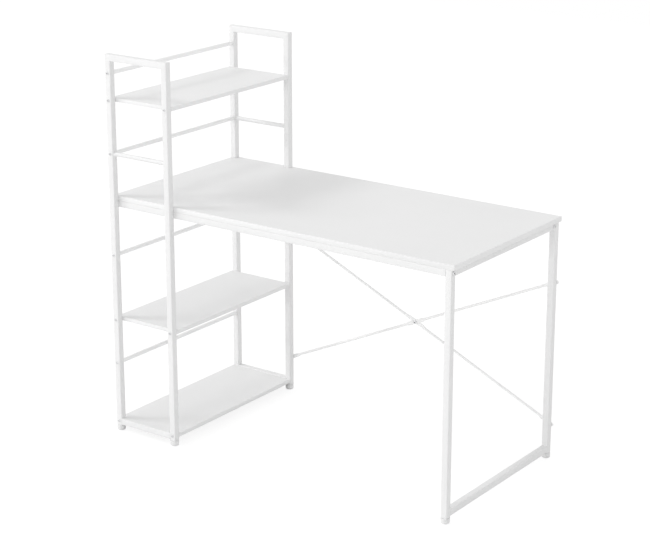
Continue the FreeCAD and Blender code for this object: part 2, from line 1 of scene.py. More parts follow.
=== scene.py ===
"""The look of a white computer desk with an open shelf tower at its left end.

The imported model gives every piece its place. Each sub-assembly here is a class that
builds the rounded tubes, banded boards, screw heads, weld beads and feet that stand
for those plain solids, and gives them their finishes.
"""

import logging
import math
from dataclasses import dataclass, replace
from enum import Enum
from typing import Iterable, Sequence

import bmesh
import bpy
from bmesh.types import BMEdge, BMesh, BMVert
from bpy.types import Material, Node, NodeSocket, NodeTree, Object
from mathutils import Matrix, Vector


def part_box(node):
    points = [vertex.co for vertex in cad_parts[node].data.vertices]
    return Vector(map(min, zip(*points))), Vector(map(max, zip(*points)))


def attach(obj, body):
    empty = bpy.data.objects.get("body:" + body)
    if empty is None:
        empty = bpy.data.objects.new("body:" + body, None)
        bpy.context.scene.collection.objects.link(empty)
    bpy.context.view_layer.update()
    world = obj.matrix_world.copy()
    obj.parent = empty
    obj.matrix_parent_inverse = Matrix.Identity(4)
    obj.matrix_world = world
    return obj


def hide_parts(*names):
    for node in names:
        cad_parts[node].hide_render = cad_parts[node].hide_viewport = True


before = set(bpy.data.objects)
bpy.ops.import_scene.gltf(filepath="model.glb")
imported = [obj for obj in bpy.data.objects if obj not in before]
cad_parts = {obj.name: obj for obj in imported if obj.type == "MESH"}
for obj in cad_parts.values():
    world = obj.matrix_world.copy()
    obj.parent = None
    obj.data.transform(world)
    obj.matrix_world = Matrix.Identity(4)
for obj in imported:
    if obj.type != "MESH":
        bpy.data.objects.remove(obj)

log = logging.getLogger("desk")

DESK_BODY = "desk"
SHELVES = ("top_shelf", "middle_shelf", "bottom_shelf")
GUARD_BARS = ("guard_bar_top", "guard_bar_middle", "guard_bar_lower", "guard_bar_bottom")
POSTS = ("tower_front_left", "tower_front_right", "tower_back_left", "tower_back_right",
         "leg_front", "leg_back")
MM = 0.001
TUBE_CORNER = 2.0 * MM
CORNER_STEPS = 4
SAME_PLACE = 1e-6
PARALLEL = 0.999


class Axis(Enum):
    """The direction along which a tube or a bar runs."""

    X = 0
    Y = 1
    Z = 2

    @property
    def vector(self) -> Vector:
        """The unit vector of the axis."""
        return Vector(Matrix.Identity(3)[self.value])


class Facing(Enum):
    """The way in which a screw's head or a nut faces."""

    FRONT = (0.0, -1.0, 0.0)
    BACK = (0.0, 1.0, 0.0)
    RIGHT = (1.0, 0.0, 0.0)
    DOWN = (0.0, 0.0, -1.0)

    @property
    def vector(self) -> Vector:
        """The unit vector of the direction."""
        return Vector(self.value)


class Drive(Enum):
    """The recess in a screw's head: its corners, and how far out it is between them."""

    SOCKET = (6, math.cos(math.pi / 6.0))
    CROSS = (4, 0.38)


class Side(Enum):
    """The front or the back frame of the tower."""

    FRONT = "front"
    BACK = "back"


class Slot(Enum):
    """The record's material slots."""

    STEEL = "white_steel"
    BOARD = "white_board"
    FASTENER = "zinc_steel"
    PLASTIC = "white_plastic"


# Shared shader effects


def math_node(tree: NodeTree, operation: str, *inputs: NodeSocket | float) -> NodeSocket:
    """Places a Math node.

    Args:
        tree: The node tree that gets the node.
        operation: What the node works out.
        inputs: A number or another node's output for each of its sockets.

    Returns:
        The node's output.
    """
    node = tree.nodes.new("ShaderNodeMath")
    node.operation = operation
    for socket, given in zip(node.inputs, inputs):
        if isinstance(given, NodeSocket):
            tree.links.new(given, socket)
        else:
            socket.default_value = given
    return node.outputs[0]


@dataclass(frozen=True)
class NoiseEffect:
    """A noise in object space, spread about a middle of one half."""

    name: str
    detail: float
    amount: float
    middle: float = 0.5

    def place(self, tree: NodeTree, scale: float) -> NodeSocket:
        """Places the effect's group in a material.

        Args:
            tree: The material's node tree.
            scale: How fine the noise is.

        Returns:
            The group's Value output.
        """
        node = tree.nodes.new("ShaderNodeGroup")
        node.node_tree = bpy.data.node_groups.get(self.name) or self._build()
        node.inputs["Scale"].default_value = scale
        node.inputs["Amount"].default_value = self.amount
        return node.outputs["Value"]

    def _build(self) -> NodeTree:
        """Builds the group, which every material then shares.

        Returns:
            A group with the inputs Scale and Amount, and a Value output.
        """
        tree = bpy.data.node_groups.new(self.name, "ShaderNodeTree")
        for label, way in (("Scale", "INPUT"), ("Amount", "INPUT"), ("Value", "OUTPUT")):
            tree.interface.new_socket(name=label, in_out=way, socket_type="NodeSocketFloat")
        inside = tree.nodes.new("NodeGroupInput")
        outside = tree.nodes.new("NodeGroupOutput")
        place = tree.nodes.new("ShaderNodeTexCoord")
        noise = tree.nodes.new("ShaderNodeTexNoise")
        noise.inputs["Detail"].default_value = self.detail
        tree.links.new(place.outputs["Object"], noise.inputs["Vector"])
        tree.links.new(inside.outputs["Scale"], noise.inputs["Scale"])
        centred = math_node(tree, "SUBTRACT", noise.outputs["Fac"], self.middle)
        spread = math_node(tree, "MULTIPLY_ADD", centred, inside.outputs["Amount"], self.middle)
        tree.links.new(spread, outside.inputs["Value"])
        return tree


SLOW_DRIFT = NoiseEffect("slow_drift", detail=3.0, amount=2.0)
FINE_RELIEF = NoiseEffect("fine_relief", detail=2.0, amount=1.0)


def grey(level: float) -> tuple[float, float, float]:
    """A grey or white of one level."""
    return (level, level, level)


@dataclass(frozen=True)
class Finish:
    """A surface finish, made into a material when it is first used.

    The relief is the fine texture of the surface and the drift is the slow change of
    tone and gloss across a piece. The gloss drifts a few times finer than the tone.
    """

    name: str
    colour: tuple[float, float, float]
    roughness: float
    relief_scale: float
    relief_depth: float
    drift_scale: float = 6.0
    tone_drift: float = 0.02
    gloss_drift: float = 0.08
    gloss_fineness: float = 5.0
    metallic: float = 0.0
    coat: float = 0.0

    def material(self) -> Material:
        """Returns the finish's material, made on the first call."""
        return bpy.data.materials.get(self.name) or self._build()

    def _build(self) -> Material:
        """Builds the material's nodes.

        Returns:
            The new material.
        """
        material = bpy.data.materials.new(self.name)
        material.use_nodes = True
        tree = material.node_tree
        shader = tree.nodes["Principled BSDF"]
        shader.inputs["Metallic"].default_value = self.metallic
        shader.inputs["Coat Weight"].default_value = self.coat
        self._drift(tree, shader)
        self._relief(tree, shader)
        return material

    def _drift(self, tree: NodeTree, shader: Node) -> None:
        """Lets the colour and the roughness vary a little across a piece.

        Args:
            tree: The material's node tree.
            shader: Its main shader.
        """
        tone = SLOW_DRIFT.place(tree, self.drift_scale)
        mix = tree.nodes.new("ShaderNodeMix")
        mix.data_type = "RGBA"
        low = [max(0.0, part * (1.0 - self.tone_drift)) for part in self.colour]
        high = [min(1.0, part * (1.0 + self.tone_drift)) for part in self.colour]
        mix.inputs["A"].default_value = (*low, 1.0)
        mix.inputs["B"].default_value = (*high, 1.0)
        tree.links.new(tone, mix.inputs["Factor"])
        tree.links.new(mix.outputs["Result"], shader.inputs["Base Color"])
        gloss = SLOW_DRIFT.place(tree, self.drift_scale * self.gloss_fineness)
        spread = tree.nodes.new("ShaderNodeMapRange")
        spread.inputs["To Min"].default_value = self.roughness * (1.0 - self.gloss_drift)
        spread.inputs["To Max"].default_value = self.roughness * (1.0 + self.gloss_drift)
        tree.links.new(gloss, spread.inputs["Value"])
        tree.links.new(spread.outputs["Result"], shader.inputs["Roughness"])

    def _relief(self, tree: NodeTree, shader: Node) -> None:
        """Adds the fine texture of the surface.

        Args:
            tree: The material's node tree.
            shader: Its main shader.
        """
        value = FINE_RELIEF.place(tree, self.relief_scale)
        bump = tree.nodes.new("ShaderNodeBump")
        bump.inputs["Distance"].default_value = self.relief_depth
        tree.links.new(value, bump.inputs["Height"])
        tree.links.new(bump.outputs["Normal"], shader.inputs["Normal"])


POWDER_COAT = Finish("white_powder_coat", grey(0.82), roughness=0.55, relief_scale=900.0,
                     relief_depth=0.015 * MM)
# A lighter copy of the white powder coat for the guard bars and brace rods: its higher base
# colour is painted light, standing in for the light these round bars catch.
PAINTED_LIGHT_COAT = Finish("white_coat_painted_light", grey(0.92), roughness=0.45, relief_scale=700.0,
                    relief_depth=0.01 * MM, coat=0.15)
MELAMINE = Finish("white_melamine", grey(0.83), roughness=0.52, relief_scale=1600.0,
                  relief_depth=0.02 * MM, drift_scale=3.0, tone_drift=0.012)
EDGE_BAND = Finish("white_edge_band", grey(0.84), roughness=0.5, relief_scale=700.0,
                   relief_depth=0.01 * MM, drift_scale=10.0, tone_drift=0.01)
MOULDED_PLASTIC = Finish("white_moulded_plastic", grey(0.8), roughness=0.5,
                         relief_scale=1400.0, relief_depth=0.02 * MM)
ZINC = Finish("zinc_plated_steel", (0.7, 0.7, 0.71), roughness=0.36, relief_scale=2500.0,
              relief_depth=0.01 * MM, drift_scale=60.0, tone_drift=0.1, gloss_drift=0.25,
              metallic=0.9)
# The screw recess's darker, less metallic grey is painted shade inside the socket or cross, on
# the same zinc as the head.
RECESS_PAINTED_SHADE = Finish("screw_recess_painted_shade", grey(0.6), roughness=0.6, relief_scale=2500.0,
                relief_depth=0.01 * MM, metallic=0.3)


# Mesh helpers


def solid_box(low: Vector, high: Vector) -> BMesh:
    """A plain block between two corners.

    Args:
        low: The lowest corner.
        high: The highest corner.

    Returns:
        A new bmesh that holds the block.
    """
    block = bmesh.new()
    place = Matrix.Translation((low + high) / 2.0) @ Matrix.Diagonal((*(high - low), 1.0))
    bmesh.ops.create_cube(block, size=1.0, matrix=place)
    return block


def edges_along(mesh: BMesh, axis: Axis) -> list[BMEdge]:
    """Finds the edges that run along an axis.

    Args:
        mesh: The bmesh to search.
        axis: The direction.

    Returns:
        The edges.
    """
    found = []
    for edge in mesh.edges:
        run = edge.verts[1].co - edge.verts[0].co
        if run.length > 0.0 and abs(run.normalized().dot(axis.vector)) > PARALLEL:
            found.append(edge)
    return found


def edges_at(mesh: BMesh, axis: Axis, level: float) -> list[BMEdge]:
    """The edges that lie at one level of an axis."""
    return [edge for edge in mesh.edges
            if all(abs(point.co[axis.value] - level) < SAME_PLACE for point in edge.verts)]


def circle(mesh: BMesh, steps: int, radius: float, level: float = 0.0) -> list[BMVert]:
    """Adds a level circle about Z and gives its points."""
    place = Matrix.Translation((0.0, 0.0, level))
    return bmesh.ops.create_circle(mesh, segments=steps, radius=radius, matrix=place)["verts"]


def loop_edges(mesh: BMesh, ring: Iterable[BMVert]) -> list[BMEdge]:
    """The edges that join a ring's own points."""
    own = set(ring)
    return [edge for edge in mesh.edges if edge.verts[0] in own and edge.verts[1] in own]


def skin(mesh: BMesh, loops: Sequence[list[BMEdge]]) -> None:
    """Bridges loops of edges one after another."""
    for first, second in zip(loops, loops[1:]):
        bmesh.ops.bridge_loops(mesh, edges=first + second)


def round_edges(mesh: BMesh, edges: Iterable[BMEdge], radius: float, segments: int) -> None:
    """Rounds the given edges.

    Args:
        mesh: The bmesh to change.
        edges: The edges to round.
        radius: The rounding, in metres.
        segments: How many faces make each rounding.
    """
    bmesh.ops.bevel(mesh, geom=list(edges), offset=radius, offset_type="OFFSET",
                    segments=segments, profile=0.5, affect="EDGES", clamp_overlap=True,
                    material=-1)


def cut_off(mesh: BMesh, point: Vector, normal: Vector) -> None:
    """Cuts away what lies beyond a plane and closes the cut.

    Args:
        mesh: The bmesh to cut.
        point: A point on the plane.
        normal: The direction of the side that goes.
    """
    everything = [*mesh.verts, *mesh.edges, *mesh.faces]
    cut = bmesh.ops.bisect_plane(mesh, geom=everything, plane_co=point, plane_no=normal,
                                 clear_outer=True)
    rim = [item for item in cut["geom_cut"] if isinstance(item, BMEdge)]
    bmesh.ops.holes_fill(mesh, edges=rim, sides=0)


def add_copy(target: BMesh, source: BMesh, place: Matrix) -> None:
    """Adds a copy of one bmesh to another at a place.

    Args:
        target: The bmesh that grows.
        source: The shape to copy, which stays as it is.
        place: Where the copy goes.
    """
    holder = bpy.data.meshes.new("holder")
    source.to_mesh(holder)
    holder.transform(place)
    target.from_mesh(holder)
    bpy.data.meshes.remove(holder)


def join(target: BMesh, source: BMesh) -> None:
    """Moves one bmesh's shape into another and frees the first."""
    add_copy(target, source, Matrix.Identity(4))
    source.free()


def turned(profile: Sequence[tuple[float, float]], steps: int) -> BMesh:
    """A turned solid about Z.

    Args:
        profile: Radius and height of each point, from axis to axis.
        steps: How many steps make the full turn.

    Returns:
        A new closed bmesh.
    """
    shape = bmesh.new()
    points = [shape.verts.new((radius, 0.0, height)) for radius, height in profile]
    edges = [shape.edges.new(pair) for pair in zip(points, points[1:])]
    bmesh.ops.spin(shape, geom=[*points, *edges], cent=(0.0, 0.0, 0.0), axis=(0.0, 0.0, 1.0),
                   angle=math.tau, steps=steps, use_merge=True)
    bmesh.ops.remove_doubles(shape, verts=list(shape.verts), dist=SAME_PLACE)
    bmesh.ops.recalc_face_normals(shape, faces=list(shape.faces))
    return shape


def laid_along(direction: Vector) -> Matrix:
    """The turn that lays a shape's +Z along a direction."""
    return Axis.Z.vector.rotation_difference(direction).to_matrix().to_4x4()


def finish_piece(mesh: BMesh, name: str, finishes: Sequence[Finish],
                 replaces: Sequence[str] = (), body: str = DESK_BODY,
                 crease: float = 34.0) -> None:
    """Turns a bmesh into a finished piece that rides on its body.

    Args:
        mesh: The piece's shape, in the frame's own place. It is freed.
        name: The piece's name.
        finishes: One finish for each material index of the shape.
        replaces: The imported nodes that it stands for.
        body: The body that it moves with.
        crease: The angle in degrees past which an edge stays sharp.
    """
    data = bpy.data.meshes.new(name)
    mesh.to_mesh(data)
    mesh.free()
    for finish in finishes:
        data.materials.append(finish.material())
    data.polygons.foreach_set("use_smooth", [True] * len(data.polygons))
    data.set_sharp_from_angle(angle=math.radians(crease))
    piece = bpy.data.objects.new(name, data)
    bpy.context.scene.collection.objects.link(piece)
    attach(piece, body)
    if replaces:
        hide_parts(*replaces)
    log.info("%s: %d faces on %s", name, len(data.polygons), body)


def middle_of(node: str) -> Vector:
    """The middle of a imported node's box."""
    low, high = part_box(node)
    return (low + high) / 2.0


# Tubes and welds


@dataclass
class SquareTube:
    """A length of square steel tube with rolled corners."""

    node: str
    axis: Axis

    def build(self, cuts: Sequence[tuple[Vector, Vector]] = ()) -> None:
        """Builds the tube, cut at each plane, in place of its node.

        Args:
            cuts: A point and an outward normal for each mitre.
        """
        tube = solid_box(*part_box(self.node))
        round_edges(tube, edges_along(tube, self.axis), TUBE_CORNER, CORNER_STEPS)
        for point, normal in cuts:
            cut_off(tube, point, normal)
        finish_piece(tube, f"{self.node}_tube", [POWDER_COAT], [self.node])


@dataclass
class RoundBar:
    """A round steel bar between two posts."""

    node: str
    axis: Axis
    # The default finish is the lighter copy of the powder coat, whose extra brightness is
    # painted light.
    finish: Finish = PAINTED_LIGHT_COAT
    steps: int = 40
    end_break: float = 0.4 * MM

    def build(self) -> None:
        """Builds the bar, with its end edges broken, in place of its node."""
        low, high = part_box(self.node)
        size = high - low
        length = size[self.axis.value]
        radius = (sum(size) - length) / 4.0
        inner = radius - self.end_break
        half = length / 2.0
        profile = [(0.0, -half), (inner, -half), (radius, self.end_break - half),
                   (radius, half - self.end_break), (inner, half), (0.0, half)]
        bar = turned(profile, self.steps)
        bar.transform(Matrix.Translation((low + high) / 2.0) @ laid_along(self.axis.vector))
        finish_piece(bar, f"{self.node}_round", [self.finish], [self.node])


@dataclass
class WeldBeads:
    """The overlapping beads of the welds in one welded frame."""

    name: str
    spacing: float = 2.3 * MM
    length: float = 2.2 * MM
    width: float = 2.0 * MM
    height: float = 1.1 * MM
    corner_gap: float = 2.0 * MM

    def __post_init__(self) -> None:
        """Starts with no beads."""
        self._beads = bmesh.new()

    def _bead(self, place: Vector, along: Vector, outward: Vector) -> None:
        """Adds one bead.

        Args:
            place: The bead's middle.
            along: The direction of the weld there.
            outward: The direction in which the bead stands proud.
        """
        side = along.cross(outward).normalized()
        turn = Matrix((along.normalized(), side, outward.normalized())).transposed().to_4x4()
        scale = Matrix.Diagonal((self.length, self.width, self.height, 1.0))
        bmesh.ops.create_icosphere(self._beads, subdivisions=2, radius=1.0,
                                   matrix=Matrix.Translation(place) @ turn @ scale)

    def _line(self, start: Vector, end: Vector, outward: Vector) -> None:
        """Adds a straight weld.

        Args:
            start: Where the weld starts.
            end: Where it ends.
            outward: The direction in which it stands proud.
        """
        run = end - start
        count = max(2, round(run.length / self.spacing))
        for number in range(count):
            share = (number + 0.5) / count
            self._bead(start + run * share, run, outward)

    def rail(self, node: str, run: Axis, across: Axis, levels: Sequence[float]) -> None:
        """Welds both ends of a rail to its posts.

        Args:
            node: The rail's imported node.
            run: The direction of the rail.
            across: The direction of the weld lines.
            levels: Minus one for the lines under the rail and one for those on top.
        """
        low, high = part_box(node)
        for corner, away in ((low, 1.0), (high, -1.0)):
            for level in levels:
                start = Vector((0.0, 0.0, high.z if level > 0.0 else low.z))
                start[run.value] = corner[run.value]
                end = start.copy()
                start[across.value] = low[across.value] + self.corner_gap
                end[across.value] = high[across.value] - self.corner_gap
                outward = (run.vector * away + Axis.Z.vector * level).normalized()
                self._line(start, end, outward)

    def bar(self, node: str, run: Axis) -> None:
        """Welds both ends of a round bar to its posts.

        Args:
            node: The bar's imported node.
            run: The direction of the bar.
        """
        low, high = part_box(node)
        radius = (high.z - low.z) / 2.0
        first = run.vector.orthogonal().normalized()
        count = round(math.tau * radius / self.spacing)
        for corner in (low, high):
            centre = (low + high) / 2.0
            centre[run.value] = corner[run.value]
            for number in range(count):
                outward = Matrix.Rotation(math.tau * number / count, 3, run.vector) @ first
                self._bead(centre + outward * radius, run.vector.cross(outward), outward)

    def build(self) -> None:
        """Finishes the beads as one coated piece."""
        finish_piece(self._beads, self.name, [POWDER_COAT], crease=60.0)


@dataclass
class TowerFrame:
    """One of the tower's two welded frames: two posts, two rails and a short bar."""

    side: Side

    def _node(self, part: str) -> str:
        """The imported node's name for one part of this frame."""
        return f"tower_{self.side.value}_{part}"

    def build(self) -> None:
        """Builds the posts, rails, short bar and welds."""
        self._mitred_top()
        SquareTube(self._node("bottom_rail"), Axis.X).build()
        RoundBar(self._node("middle_bar"), Axis.X, POWDER_COAT).build()
        welds = WeldBeads(self._node("welds"))
        welds.rail(self._node("bottom_rail"), Axis.X, Axis.Y, (-1.0, 1.0))
        welds.bar(self._node("middle_bar"), Axis.X)
        welds.build()

    def _mitred_top(self) -> None:
        """Builds the two posts and the top rail, which meet at mitres."""
        low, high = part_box(self._node("top_rail"))
        half = (high.z - low.z) / 2.0
        left = Vector((low.x + half, low.y, high.z - half))
        right = Vector((high.x - half, low.y, high.z - half))
        up_right = Vector((1.0, 0.0, 1.0)).normalized()
        up_left = Vector((-1.0, 0.0, 1.0)).normalized()
        SquareTube(self._node("left_post"), Axis.Z).build([(left, up_right)])
        SquareTube(self._node("right_post"), Axis.Z).build([(right, up_left)])
        SquareTube(self._node("top_rail"), Axis.X).build([(left, -up_right), (right, -up_left)])


@dataclass
class LegFrame:
    """The welded frame at the desk's right end."""

    def build(self) -> None:
        """Builds the two posts, the two rails and the welds."""
        for part in ("front_post", "back_post"):
            SquareTube(f"leg_{part}", Axis.Z).build()
        for part in ("top_rail", "bottom_rail"):
            SquareTube(f"leg_{part}", Axis.Y).build()
        welds = WeldBeads("leg_welds")
        welds.rail("leg_top_rail", Axis.Y, Axis.X, (-1.0,))
        welds.rail("leg_bottom_rail", Axis.Y, Axis.X, (-1.0, 1.0))
        welds.build()


# Boards


@dataclass
class BandedBoard:
    """A melamine-faced board with a plastic band round its edge."""

    node: str
    arris: float = 0.5 * MM
    arris_steps: int = 2
    band: float = 0.8 * MM
    seam: float = 0.12 * MM

    def outline(self, low: Vector, high: Vector) -> list[tuple[float, float]]:
        """The board's corners, seen from above and taken to the left.

        Args:
            low: The lowest corner of the board's box.
            high: The highest corner.

        Returns:
            The corners of the board's outline.
        """
        return [(low.x, low.y), (high.x, low.y), (high.x, high.y), (low.x, high.y)]

    def build(self) -> None:
        """Builds the board in place of its node."""
        low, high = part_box(self.node)
        board = bmesh.new()
        corners = [board.verts.new((x, y, low.z)) for x, y in self.outline(low, high)]
        base = board.faces.new(corners)
        grown = bmesh.ops.extrude_face_region(board, geom=[base])
        lifted = [item for item in grown["geom"] if isinstance(item, BMVert)]
        bmesh.ops.translate(board, verts=lifted, vec=(0.0, 0.0, high.z - low.z))
        bmesh.ops.recalc_face_normals(board, faces=list(board.faces))
        round_edges(board, list(board.edges), self.arris, self.arris_steps)
        self._band_seams(board)
        finish_piece(board, f"{self.node}_board", [MELAMINE, EDGE_BAND], [self.node])

    def _band_seams(self, board: BMesh) -> None:
        """Marks the band on the faces and cuts the fine seam inside it.

        Args:
            board: The board's bmesh.
        """
        level = [face for face in board.faces if abs(face.normal.z) > PARALLEL]
        wide = sorted(level, key=lambda face: face.calc_area())[-2:]
        for face in board.faces:
            face.material_index = 0 if face in wide else 1
        for face in wide:
            ring = bmesh.ops.inset_region(board, faces=[face], thickness=self.band, depth=0.0)
            for strip in ring["faces"]:
                strip.material_index = 1
            bmesh.ops.inset_region(board, faces=[face], thickness=self.seam, depth=-self.seam)


@dataclass
class NotchedDeskBoard(BandedBoard):
    """The desk board, notched round the tower's two back posts."""

    gap: float = 0.5 * MM

    def outline(self, low: Vector, high: Vector) -> list[tuple[float, float]]:
        """The desk board's corners, with its two notches.

        Args:
            low: The lowest corner of the board's box.
            high: The highest corner.

        Returns:
            The corners of the board's outline.
        """
        left_low, left_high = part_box("tower_back_left_post")
        right_low, right_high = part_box("tower_back_right_post")
        front = left_low.y - self.gap
        return [(low.x, low.y), (high.x, low.y), (high.x, high.y),
                (right_high.x + self.gap, high.y), (right_high.x + self.gap, front),
                (right_low.x - self.gap, front), (right_low.x - self.gap, high.y),
                (left_high.x + self.gap, high.y), (left_high.x + self.gap, front),
                (low.x, front)]


@dataclass
class DeskRails:
    """The two long rails under the desk board, with their end caps."""

    cap_round: float = 0.7 * MM
    cap_steps: int = 3

    def build(self) -> None:
        """Builds the rails and the plastic caps in their left ends."""
        caps = bmesh.new()
        for node in ("desk_front_rail", "desk_back_rail"):
            SquareTube(node, Axis.X).build()
            low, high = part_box(node)
            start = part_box("rail_caps")[0].x
            cap = solid_box(Vector((start, low.y, low.z)), Vector((low.x, high.y, high.z)))
            round_edges(cap, edges_along(cap, Axis.X), TUBE_CORNER, CORNER_STEPS)
            round_edges(cap, edges_at(cap, Axis.X, start), self.cap_round, self.cap_steps)
            join(caps, cap)
        finish_piece(caps, "rail_end_caps", [MOULDED_PLASTIC], ["rail_caps"])


# Screws


@dataclass(frozen=True)
class HeadSize:
    """The radius and the height of a screw's head."""

    radius: float
    height: float


FRAME_SCREW = HeadSize(4.5 * MM, 2.4 * MM)
BOLT = HeadSize(5.5 * MM, 3.6 * MM)
WOOD_SCREW = HeadSize(4.0 * MM, 2.4 * MM)


@dataclass
class ScrewSet:
    """Equal screws that replace one packed group: only their heads show.

    The dome gives shares of the head's radius and height, from its seat to the flat on
    top. The recess is a share of that flat, and its floor a share of the height.
    """

    name: str
    node: str
    size: HeadSize
    drive: Drive = Drive.SOCKET
    steps: int = 24
    dome: tuple[tuple[float, float], ...] = ((0.96, 0.0), (1.0, 0.14), (0.985, 0.35),
                                             (0.88, 0.72), (0.55, 1.0))
    recess_share: float = 0.72
    floor_share: float = 0.3

    def head(self) -> BMesh:
        """Shapes one head.

        Returns:
            A domed head on its base at the origin, with its recess, facing +Z.
        """
        head = bmesh.new()
        rings = [circle(head, self.steps, self.size.radius * out, self.size.height * up)
                 for out, up in self.dome]
        loops = [loop_edges(head, ring) for ring in rings]
        skin(head, loops)
        bmesh.ops.contextual_create(head, geom=loops[0])
        self._recess(head, loops[-1])
        bmesh.ops.recalc_face_normals(head, faces=list(head.faces))
        return head

    def _recess(self, head: BMesh, rim: list[BMEdge]) -> None:
        """Sinks the socket or cross into the top of the head.

        Args:
            head: The head's bmesh.
            rim: The edges of the open ring at its top.
        """
        corners, between = self.drive.value
        across = self.size.radius * self.dome[-1][0] * self.recess_share
        loops = []
        for level in (self.size.height, self.size.height * self.floor_share):
            points = circle(head, 2 * corners, across, level)
            for point in points[1::2]:
                point.co.xy *= between
            loops.append(loop_edges(head, points))
        bmesh.ops.bridge_loops(head, edges=rim + loops[0])
        walls = bmesh.ops.bridge_loops(head, edges=loops[0] + loops[1])["faces"]
        floor = bmesh.ops.contextual_create(head, geom=loops[1])["faces"]
        # The recess's walls and floor get the darker finish, which is painted shade.
        for face in [*walls, *floor]:
            face.material_index = 1

    def build(self, places: Iterable[tuple[Vector, Facing]]) -> None:
        """Builds a head at each place.

        Args:
            places: For each screw, where its head seats and which way it faces.
        """
        head = self.head()
        heads = bmesh.new()
        for place, facing in places:
            add_copy(heads, head, Matrix.Translation(place) @ laid_along(facing.vector))
        head.free()
        # The second material is the darker recess finish, painted shade inside each socket or
        # cross.
        finish_piece(heads, self.name, [ZINC, RECESS_PAINTED_SHADE], [self.node])


@dataclass
class Fasteners:
    """Every screw and bolt of the tower and the desk whose head shows."""

    leg_inset: float = 110.0 * MM

    def build(self) -> None:
        """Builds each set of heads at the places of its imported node."""
        self._tower_screws()
        self._desk_bolts()
        self._board_screws()

    def _tower_screws(self) -> None:
        """The screws through the tower's posts into its shelves and bars."""
        sides = ((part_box("tower_front_left_post")[0].y, Facing.FRONT),
                 (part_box("tower_back_left_post")[1].y, Facing.BACK))
        left = middle_of("tower_front_left_post").x
        right = middle_of("tower_front_right_post").x
        ScrewSet("shelf_screw_heads", "shelf_screws", FRAME_SCREW).build(
            (Vector((x, y, middle_of(shelf).z)), facing)
            for shelf in SHELVES for x in (left, right) for y, facing in sides)
        ScrewSet("guard_bar_screw_heads", "guard_bar_screws", FRAME_SCREW).build(
            (Vector((left, y, middle_of(bar).z)), facing)
            for bar in GUARD_BARS for y, facing in sides)

    def _desk_bolts(self) -> None:
        """The bolts that hold the desk's rails to the posts and to the leg frame."""
        sides = ((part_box("desk_front_rail")[1].y, Facing.BACK),
                 (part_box("desk_back_rail")[0].y, Facing.FRONT))
        left = middle_of("tower_front_left_post").x
        right = middle_of("tower_front_right_post").x
        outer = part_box("leg_front_post")[1].x
        level = middle_of("desk_front_rail").z
        ScrewSet("rail_bolt_heads", "rail_to_post_bolts", BOLT).build(
            (Vector((x, y, level)), facing) for x in (left, right) for y, facing in sides)
        ScrewSet("leg_bolt_heads", "leg_bolts", BOLT).build(
            (Vector((outer, middle_of(rail).y, level)), Facing.RIGHT)
            for rail in ("desk_front_rail", "desk_back_rail"))

    def _board_screws(self) -> None:
        """The wood screws that come up through the rails into the desk board."""
        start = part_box("rail_caps")[0].x
        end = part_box("desk_front_rail")[1].x
        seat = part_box("desk_front_rail")[0].z
        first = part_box("desk_top_screws")[0].x + WOOD_SCREW.radius
        xs = (first, (start + end) / 2.0, end - (first - start))
        ys = (middle_of("desk_front_rail").y, middle_of("desk_back_rail").y)
        places = [(x, y) for x in xs for y in ys]
        leg_low, leg_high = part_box("leg_top_rail")
        leg = middle_of("leg_top_rail").x
        places += [(leg, leg_low.y + self.leg_inset), (leg, leg_high.y - self.leg_inset)]
        ScrewSet("desk_top_screw_heads", "desk_top_screws", WOOD_SCREW, Drive.CROSS).build(
            (Vector((x, y, seat)), Facing.DOWN) for x, y in places)


# Brace


@dataclass(frozen=True)
class Section:
    """One cross-section of a pressed rod.

    The flatness is nought where the rod is round and one where it is pressed flat. The
    width is the share that is left at a rounded tip, and the depth is how far the
    middle lies behind the posts.
    """

    along: float
    flatness: float
    width: float
    depth: float


